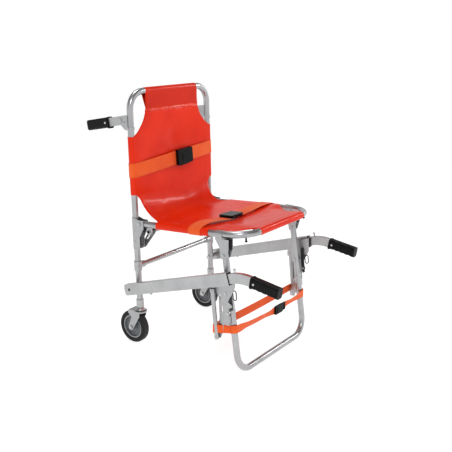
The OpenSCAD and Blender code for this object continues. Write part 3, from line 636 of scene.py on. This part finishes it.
def sling_rows():
    """Stations down the sling: half width, a sleeve or not, and the place and normal for x."""
    rows = []

    def add(to_world, width, sleeve, y, z, normal, depth):
        def place(x):
            lift = Vector((0, y, z)) - Vector((0, *normal)) * depth(x)
            point = to_world @ Vector((x, lift.y, lift.z))
            return point, (to_world.to_3x3() @ Vector((0, *normal))).normalized()
        rows.append((width, sleeve, place))

    for i in range(SEAM_ROWS):
        z = WELD_Z - SEAM * (1 - i / SEAM_ROWS)
        add(BACK, NECK_W, False, -WRAP_R, z, (-1, 0), lambda x, z=z: back_depth(x, z) + CLOTH_T)
    for y, z in sleeve_path((-WELD_N, WELD_Z), (0, TOP_Z), 180):
        away = Vector((y, z - TOP_Z)).normalized()
        add(BACK, NECK_W, False, y, z, tuple(away), lambda x: 0.0)
    heights = [mixed(TOP_Z, FINE_HIGH, i / TOP_ROWS) for i in range(TOP_ROWS)]
    heights += [mixed(FINE_HIGH, FINE_LOW, i / FINE_ROWS) for i in range(FINE_ROWS)]
    heights += [mixed(FINE_LOW, BACK_SLEEVE[0], i / BACK_ROWS) for i in range(BACK_ROWS + 1)]
    for z in heights:
        inside = BACK_SLEEVE[0] - 1e-6 <= z <= BACK_SLEEVE[1] + SLEEVE_SLACK
        add(BACK, curve_through(FLARE, z), inside, -WRAP_R, z, (-1, 0),
            lambda x, z=z: back_depth(x, z))

    for i in range(1, BEND_ROWS):
        t = i / BEND_ROWS
        width = HALF_W - BEND_CUT_IN * min(1.0, 6 * t, 6 * (1 - t)) ** 0.8
        rows.append((width, False, lambda x, t=t: bend_place(x, t)))

    for i in range(SEAT_ROWS):
        y = mixed(SEAT_SLEEVE[0], SEAT_LEN, i / (SEAT_ROWS - 1))
        inside = y <= SEAT_SLEEVE[1] + SLEEVE_SLACK
        add(SEAT, curve_through(CUT_OUT, y), inside, -y, WRAP_R, (0, 1),
            lambda x, y=y: seat_depth(x, y))
    last = curve_through(CUT_OUT, SEAT_LEN)
    wrap = sleeve_path((SEAT_LEN - WELD_IN, WELD_N), (SEAT_LEN, 0), 90)
    for a, z in reversed(wrap):
        away = Vector((a - SEAT_LEN, z)).normalized()
        add(SEAT, last, False, -a, z, (-away.x, away.y), lambda x: 0.0)
    return rows


COLUMNS = 72
ROUND_STEPS, LAP_STEPS = 22, 5
SLEEVE_UV_STEP = 0.0026  # cloth round a sleeve between two points of its profile


def sleeve_profile():
    """(x, normal) points from a side tube's front, round it, to the weld behind the panel."""
    weld = Vector((-WELD_IN, WELD_N))
    bearing = math.degrees(math.atan2(weld.x, weld.y))
    tangent = (bearing - math.degrees(math.acos(WRAP_R / weld.length))) % 360
    turns = [math.radians(tangent * k / ROUND_STEPS) for k in range(1, ROUND_STEPS + 1)]
    profile = [(WRAP_R * math.sin(turn), WRAP_R * math.cos(turn)) for turn in turns]
    last = Vector(profile[-1])
    return profile + [tuple(last.lerp(weld, k / LAP_STEPS)) for k in range(1, LAP_STEPS + 1)]


def build_sling():
    """The whole sheet as one mesh, with its area and its length."""
    rows = sling_rows()
    verts, uvs, faces = [], [], []
    grid = []
    travel, before = 0.0, None
    for width, sleeve, place in rows:
        centre = place(0.0)[0]
        travel += (centre - before).length if before else 0.0
        before = centre
        line = []
        for j in range(COLUMNS + 1):
            x = width * math.sin(math.pi * (j / COLUMNS - 0.5))
            point, normal = place(x)
            if not sleeve:
                point = point - normal * HEM_ROLL * smooth((abs(x) - width + HEM_W) / HEM_W)
            line.append(len(verts))
            verts.append(point)
            uvs.append((travel, x))
        grid.append((line, travel))
    for (a, _), (b, _) in zip(grid, grid[1:]):
        for j in range(COLUMNS):
            faces.append((a[j], b[j], b[j + 1], a[j + 1]))

    # Side sleeves follow the panel's own sag where they lie against it
    profile = sleeve_profile()
    for side in (-1, 1):
        previous = None
        for (line, down), (_, sleeve, place) in zip(grid, rows):
            if not sleeve:
                previous = None
                continue
            edge = line[-1] if side > 0 else line[0]
            base, normal = place(side * HALF_W)
            centre = base - normal * WRAP_R
            strip = [edge]
            for k, (dx, dn) in enumerate(profile, 1):
                sag = 0.0
                if dx < -WRAP_R:
                    inner, _ = place(side * (HALF_W + dx))
                    sag = (base - inner).dot(normal) * smooth((-dx - WRAP_R) / (WELD_IN - WRAP_R))
                strip.append(len(verts))
                verts.append(centre + Vector((side * dx, 0, 0)) + normal * (dn - sag))
                uvs.append((down, side * (HALF_W + SLEEVE_UV_STEP * k)))
            if previous:
                for k in range(len(strip) - 1):
                    quad = (previous[k], strip[k], strip[k + 1], previous[k + 1])
                    faces.append(quad if side > 0 else quad[::-1])
            previous = strip
    obj = mesh_object("sling", verts, faces, uvs)
    area = sum(p.area for p in obj.data.polygons)
    thicken(obj, CLOTH_T)
    settle(obj, 55)
    return obj, area, travel


sling, sling_area, sling_length = build_sling()
finish_with(sling, looks["vinyl"])
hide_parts("back_sling", "sling_bend", "seat_sling")
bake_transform(sling)


# ---------------------------------------------------------------- straps
LANES = 10


def strap(name, path, width, body, closed=False):
    """A flat woven strap along (point, width direction) stations."""
    verts, uvs, faces = [], [], []
    travel = 0.0
    count = len(path)
    for i, (point, side) in enumerate(path):
        if i:
            travel += (point - path[i - 1][0]).length
        for k in range(LANES + 1):
            v = k / LANES
            verts.append(point + side.normalized() * ((v - 0.5) * width))
            uvs.append((travel, v * width + 0.5 * (STRAP_W - width)))
    row = LANES + 1
    for i in range(count if closed else count - 1):
        j = (i + 1) % count
        for k in range(LANES):
            faces.append((i * row + k, j * row + k, j * row + k + 1, i * row + k + 1))
    obj = thicken(mesh_object(name, verts, faces, uvs), STRAP_T)
    bevel = obj.modifiers.new("edge", "BEVEL")
    bevel.width = STRAP_T * 0.35
    bevel.segments = 2
    bevel.limit_method = "ANGLE"
    bevel.angle_limit = math.radians(60)
    settle(obj, 50)
    return finish_with(obj, looks["webbing"], body)


def strap_length(path):
    return sum((b[0] - a[0]).length for a, b in zip(path, path[1:]))


ARC_STEPS = 16


def round_tube(index):
    """How far out and how far back a strap is at a step of its half turn round a tube."""
    turn = math.pi * index / ARC_STEPS
    return STRAP_OFF * math.sin(turn), STRAP_OFF * math.cos(turn)


# Where the chest strap passes each side tube, and the x of its buckle and of its tongue
CHEST_RIGHT_Z, CHEST_LEFT_Z = 0.636, 0.665
CHEST_BUCKLE_X, CHEST_TONGUE_X = 0.013, 0.079


def chest_path():
    """Buckle to right tube, round it, across behind, round the left tube, to the tongue."""
    right_steps, behind_steps, left_steps = 40, 60, 25
    flat = []

    def height(x):
        return mixed(CHEST_RIGHT_Z, CHEST_LEFT_Z, (x + HALF_W) / (2 * HALF_W))

    def sag(x, low, high):
        t = (x - low) / (high - low)
        return 0.0022 * math.sin(math.pi * min(max(t, 0), 1))

    for i in range(right_steps + 1):
        x = mixed(CHEST_BUCKLE_X, -HALF_W, i / right_steps)
        flat.append((x, -STRAP_OFF - sag(x, -HALF_W, CHEST_BUCKLE_X), height(x)))
    for i in range(1, ARC_STEPS + 1):
        out, back = round_tube(i)
        flat.append((-HALF_W - out, -back, height(-HALF_W)))
    for i in range(1, behind_steps):
        t = i / behind_steps
        x = mixed(-HALF_W, HALF_W, t)
        flat.append((x, STRAP_OFF - 0.002 * math.sin(math.pi * t), height(x)))
    for i in range(ARC_STEPS + 1):
        out, back = round_tube(i)
        flat.append((HALF_W + out, back, height(HALF_W)))
    for i in range(1, left_steps + 1):
        x = mixed(HALF_W, CHEST_TONGUE_X, i / left_steps)
        flat.append((x, -STRAP_OFF - sag(x, CHEST_TONGUE_X, HALF_W), height(x)))
    up = BACK.to_3x3() @ Vector((0, 0, 1))
    stations = []
    for i, point in enumerate(flat):
        lean = BACK.to_3x3() @ Vector((0, 0.05 * ripple(i * 0.02, 0, 0, 0.2, 4.4), 0))
        stations.append((BACK @ Vector(point), (up + lean).normalized()))
    return stations


# The stitched tail under the seat's cloth: how far in it starts, and its height there
LAP_TAIL, LAP_TAIL_Z = 0.040, 0.0085


def lap_path(side, reach, y, y_inner, bulge):
    """From a stitched end under the seat, round the sleeve, and in to x = reach on the seat.

    It passes the tube at y along the seat and its free end lies at y_inner.
    """
    tail_steps, top_steps = 8, 44
    flat = []
    for i in range(tail_steps + 1):
        t = i / tail_steps
        x = mixed(HALF_W - LAP_TAIL, HALF_W, t)
        flat.append((x, mixed(LAP_TAIL_Z, -STRAP_OFF, smooth(t)), y))
    for i in range(1, ARC_STEPS + 1):
        out, up = round_tube(i)
        flat.append((HALF_W + out, -up, y))
    for i in range(1, top_steps + 1):
        t = i / top_steps
        rise = bulge * math.sin(math.pi * t ** 0.62) ** 1.5
        flat.append((mixed(HALF_W, reach, t), STRAP_OFF + rise, mixed(y, y_inner, smooth(t))))
    forward = SEAT.to_3x3() @ Vector((0, 1, 0))
    return [(SEAT @ Vector((side * x, -along, z)), forward) for x, z, along in flat]


# Circles (x, s, radius) that the ankle strap follows round a leg and round a strut
LEG_ROUND, STRUT_ROUND = (HALF_W, 0.409, 0.01445), (0.241, 0.3608, 0.00965)
ANKLE_BUCKLE_X = 0.043
RUN_STEPS, CORNER_STEPS = 60, 9


def ankle_path():
    """A closed loop round both struts and in front of both legs, slack in the two long runs."""
    leg, strut = LEG_ROUND, STRUT_ROUND
    dx, ds = strut[0] - leg[0], leg[1] - strut[1]
    turn = math.atan2(ds, dx) - math.acos((leg[2] - strut[2]) / math.hypot(dx, ds))
    corners = []

    def arc(side, circle, start, end):
        x, s, radius = circle
        for i in range(CORNER_STEPS + 1):
            a = mixed(start, end, i / CORNER_STEPS)
            corners.append((side * (x + radius * math.cos(a)), s + radius * math.sin(a)))

    def run(x, s):
        for i in range(1, RUN_STEPS):
            corners.append((mixed(x, -x, i / RUN_STEPS), s))

    quarter = math.pi / 2
    arc(1, strut, -quarter, turn)
    arc(1, leg, turn, quarter)
    run(leg[0], leg[1] + leg[2])
    arc(-1, leg, quarter, turn)
    arc(-1, strut, turn, -quarter)
    run(-strut[0], strut[1] - strut[2])
    stations = []
    for x, s in corners:
        free = max(0.0, 1 - (x / 0.205) ** 2)
        if s > leg[1] + 0.001:
            # The front run leans over between the legs, and stands upright at its buckle
            height = 0.1625 - 0.015 * x - 0.0065 * free
            off_buckle = 1 - math.exp(-((x - ANKLE_BUCKLE_X) / 0.050) ** 4)
            twist = smooth((0.200 - abs(x)) / 0.055) * off_buckle
            tilt = (0.15 * ripple(x, s, 0, 0.06, 6.1) - 0.48) * twist
            bow = 0.0
        else:
            height = 0.1610 - 0.012 * x - 0.0050 * free
            tilt = 0.10 * free
            bow = 0.003 * free
        stations.append((Vector((x, REAR_Y - s + bow, height)), Vector((0, tilt, 1)).normalized()))
    return stations


chest_line = chest_path()
lap_right_line = lap_path(-1, reach=0.059, y=0.243, y_inner=0.259, bulge=0.008)
lap_left_line = lap_path(1, reach=-0.009, y=0.247, y_inner=0.259, bulge=0.004)
ankle_line = ankle_path()
chest = strap("chest_webbing", chest_line, STRAP_W, "back")
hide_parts("chest_strap")
lap_right = strap("lap_webbing_right", lap_right_line, STRAP_W, "seat")
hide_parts("lap_strap")
lap_left = strap("lap_webbing_left", lap_left_line, STRAP_W, "seat")
ankle = strap("ankle_webbing", ankle_line, ANKLE_W, "leg", closed=True)
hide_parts("ankle_strap")


# ---------------------------------------------------------------- small trim
def joined(name, pieces, look, body):
    """One piece from several (matrix, maker) parts, each made with bmesh at the origin."""
    bm = bmesh.new()
    for matrix, maker in pieces:
        part = bmesh.new()
        maker(part)
        part.transform(matrix)
        mesh = bpy.data.meshes.new("part")
        part.to_mesh(mesh)
        part.free()
        bm.from_mesh(mesh)
        bpy.data.meshes.remove(mesh)
    mesh = bpy.data.meshes.new(name)
    bm.to_mesh(mesh)
    bm.free()
    obj = bpy.data.objects.new(name, mesh)
    bpy.context.scene.collection.objects.link(obj)
    settle(obj, 35)
    return finish_with(obj, look, body)


def ball(radius, flat=1.0):
    def make(part):
        bmesh.ops.create_uvsphere(part, u_segments=24, v_segments=14, radius=radius)
        part.transform(Matrix.Diagonal((1, 1, flat, 1)))
    return make


def rod(radius, length):
    def make(part):
        bmesh.ops.create_cone(part, segments=20, radius1=radius, radius2=radius, depth=length,
                              cap_ends=True)
    return make


def block(x, y, z):
    def make(part):
        bmesh.ops.create_cube(part, size=1.0)
        part.transform(Matrix.Diagonal((x, y, z, 1)))
    return make


def lump(part):
    bmesh.ops.create_uvsphere(part, u_segments=6, v_segments=4, radius=1.0)


def at(base, x, y, z):
    """A local frame moved along its own axes."""
    return base @ Matrix.Translation((x, y, z))


ON_X = Matrix.Rotation(math.pi / 2, 4, "Y")
# As in part.scad: the rear handles' hinges, and the front bars with their bend and grips
REAR_HINGE_Y, REAR_HINGE_Z, HANDLE_DROP = 0.035, 0.804, math.radians(8.8)
RAIL_X, RAIL_FACE_X = 0.250, 0.2601
BAR_BEND_Y, BAR_BEND, BAR_R = -0.458, math.radians(26), 0.150
GRIP_W = 0.028
# Where the trim sits: the rivets along the grips, the studs under the seat, the stop tabs
REAR_RIVET_Y, FRONT_RIVET_Y = 0.073, -0.019
STUD_X, STUD_Y = 0.179, -0.419
TAB_X, TAB_Y, TAB_Z = 0.256, -0.0985, -0.0222
for tag, side in (("right", -1), ("left", 1)):
    rear = (at(BACK, side * HALF_W, REAR_HINGE_Y, REAR_HINGE_Z)
            @ Matrix.Rotation(-HANDLE_DROP, 4, "X"))
    front = (at(RAIL, side * RAIL_X, BAR_BEND_Y - BAR_R * math.sin(BAR_BEND),
                BAR_R * (math.cos(BAR_BEND) - 1)) @ Matrix.Rotation(BAR_BEND, 4, "X"))
    for part, tilt, y in (("rear", rear, REAR_RIVET_Y), ("front", front, FRONT_RIVET_Y)):
        rivets = [(at(tilt, face * GRIP_W / 2, y, 0) @ ON_X, ball(0.0042, 0.45))
                  for face in (-1, 1)]
        joined("%s_grip_rivets_%s" % (part, tag), rivets, looks["bolt"],
               "%s_handle_%s" % (part, tag))
    hang = at(SEAT, side * STUD_X, STUD_Y, 0)
    joined("seat_tube_stud_" + tag,
           [(at(hang, 0, 0, -0.014), rod(0.0028, 0.012)),
            (at(hang, 0, 0, -0.022), ball(0.0046, 0.8))],
           looks["black"], "seat")

for tag, side in (("right", -1), ("left", 1)):
    joined("rail_pivot_cap_" + tag, [(at(RAIL, side * RAIL_FACE_X, 0, 0) @ ON_X, ball(0.0050, 0.30))],
           looks["dark"], "rail_" + tag)
    joined("rail_stop_tab_" + tag,
           [(at(RAIL, side * TAB_X, TAB_Y, TAB_Z), block(0.004, 0.007, 0.0050)),
            (at(RAIL, side * TAB_X, TAB_Y + 0.0025, TAB_Z - 0.0018) @ ON_X, rod(0.0022, 0.0050))],
           looks["sheet"], "rail_" + tag)

STITCH = 0.0032  # length of one stitch
STITCH_FROM, STITCH_TO = 0.14, 0.86  # the share of each stitch that shows above the strap
THREAD_R = 0.00042


def stitches(name, path, start, off, body, length=0.034, width=0.036):
    """A boxed cross of thread lying on a strap, from start along its path."""
    distance = [0.0]
    for (a, _), (b, _) in zip(path, path[1:]):
        distance.append(distance[-1] + (b - a).length)

    def on_strap(along, across):
        along = min(max(along, 0.0), distance[-1] - 1e-6)
        i = max(k for k in range(len(distance) - 1) if distance[k] <= along)
        t = (along - distance[i]) / (distance[i + 1] - distance[i])
        (a, side), (b, _) = path[i], path[i + 1]
        normal = (b - a).normalized().cross(side.normalized())
        return a.lerp(b, t) + side.normalized() * across + normal * off

    half = width / 2
    box = [(0, -half), (length, -half), (length, half), (0, half), (0, -half)]
    lines = list(zip(box, box[1:])) + [((0, -half), (length, half)), ((0, half), (length, -half))]
    pieces = []
    for (a0, c0), (a1, c1) in lines:
        count = max(2, round(math.hypot(a1 - a0, c1 - c0) / STITCH))
        for i in range(count):
            t0, t1 = (i + STITCH_FROM) / count, (i + STITCH_TO) / count
            p = on_strap(start + mixed(a0, a1, t0), mixed(c0, c1, t0))
            q = on_strap(start + mixed(a0, a1, t1), mixed(c0, c1, t1))
            aim = (q - p).to_track_quat("Z", "Y").to_matrix().to_4x4()
            size = Matrix.Diagonal((THREAD_R, THREAD_R, (q - p).length / 2, 1))
            pieces.append((Matrix.Translation((p + q) / 2) @ aim @ size, lump))
    return joined(name, pieces, looks["thread"], body)


ABOVE = STRAP_T / 2 + 0.00025
stitches("chest_stitching", chest_line, 0.076, -ABOVE, "back")
stitches("lap_stitching_right", lap_right_line, strap_length(lap_right_line) - 0.066, ABOVE, "seat")
stitches("lap_stitching_left", lap_left_line, strap_length(lap_left_line) - 0.068, -ABOVE, "seat")


# ---------------------------------------------------------------- camera, light, floor
cam_data = bpy.data.cameras.new("camera")
cam_data.lens = 55.71
cam_data.sensor_width = 36
camera = bpy.data.objects.new("camera", cam_data)
bpy.context.scene.collection.objects.link(camera)
# The camera fitted to the photograph: in front and to the chair's right, looking down
azimuth, elevation = math.radians(-53.82), math.radians(15.62)
camera.location = (-1.9143, -1.4285, 1.0947)
camera.rotation_euler = (math.pi / 2 - elevation, 0, azimuth)
cam_data.clip_end = 200
bpy.context.scene.camera = camera

floor_mesh = bpy.data.meshes.new("floor")
bm = bmesh.new()
bmesh.ops.create_grid(bm, x_segments=4, y_segments=4, size=60)
bm.to_mesh(floor_mesh)
bm.free()
floor = bpy.data.objects.new("floor", floor_mesh)
bpy.context.scene.collection.objects.link(floor)
floor_look = Look("floor", Roughness=0.9, Specular_IOR_Level=0.05, Emission_Strength=0.83)
floor_look.shader.inputs["Emission Color"].default_value = (1, 1, 1, 1)
grain = floor_look.noise(0.4, 3)
floor.data.materials.append(floor_look.done(
    Base_Color=floor_look.blend(grain, (0.40, 0.40, 0.40), (0.43, 0.43, 0.43))))

# White all round the horizon and greyer overhead, like a cyclorama under dim ceiling flats
world = bpy.data.worlds.new("studio")
bpy.context.scene.world = world
world.use_nodes = True
sky = world.node_tree
backdrop = sky.nodes["Background"]
backdrop.inputs["Color"].default_value = (1, 1, 1, 1)
direction = sky.nodes.new("ShaderNodeTexCoord")
height = sky.nodes.new("ShaderNodeSeparateXYZ")
sky.links.new(direction.outputs["Generated"], height.inputs[0])
fall = sky.nodes.new("ShaderNodeMapRange")
fall.interpolation_type = "SMOOTHSTEP"
sky.links.new(height.outputs["Z"], fall.inputs["Value"])
for key, number in zip(("From Min", "From Max", "To Min", "To Max"), (0.10, 0.65, 1.0, 0.26)):
    fall.inputs[key].default_value = number
sky.links.new(fall.outputs["Result"], backdrop.inputs["Strength"])


def softbox(name, place, aim, size, power):
    data = bpy.data.lights.new(name, "AREA")
    data.shape = "RECTANGLE"
    data.size, data.size_y = size
    data.energy = power
    obj = bpy.data.objects.new(name, data)
    bpy.context.scene.collection.objects.link(obj)
    obj.location = place
    obj.rotation_euler = (Vector(aim) - Vector(place)).to_track_quat("-Z", "Y").to_euler()


softbox("key", (-2.2, -1.6, 2.9), (0, 0, 0.5), (0.55, 0.55), 36)
softbox("strip", (2.3, -1.3, 1.8), (0, 0.1, 0.5), (0.26, 1.0), 17)
softbox("top", (0.2, 0.6, 3.2), (0, 0, 0.4), (1.1, 0.6), 24)
bpy.context.scene.view_settings.view_transform = "Standard"
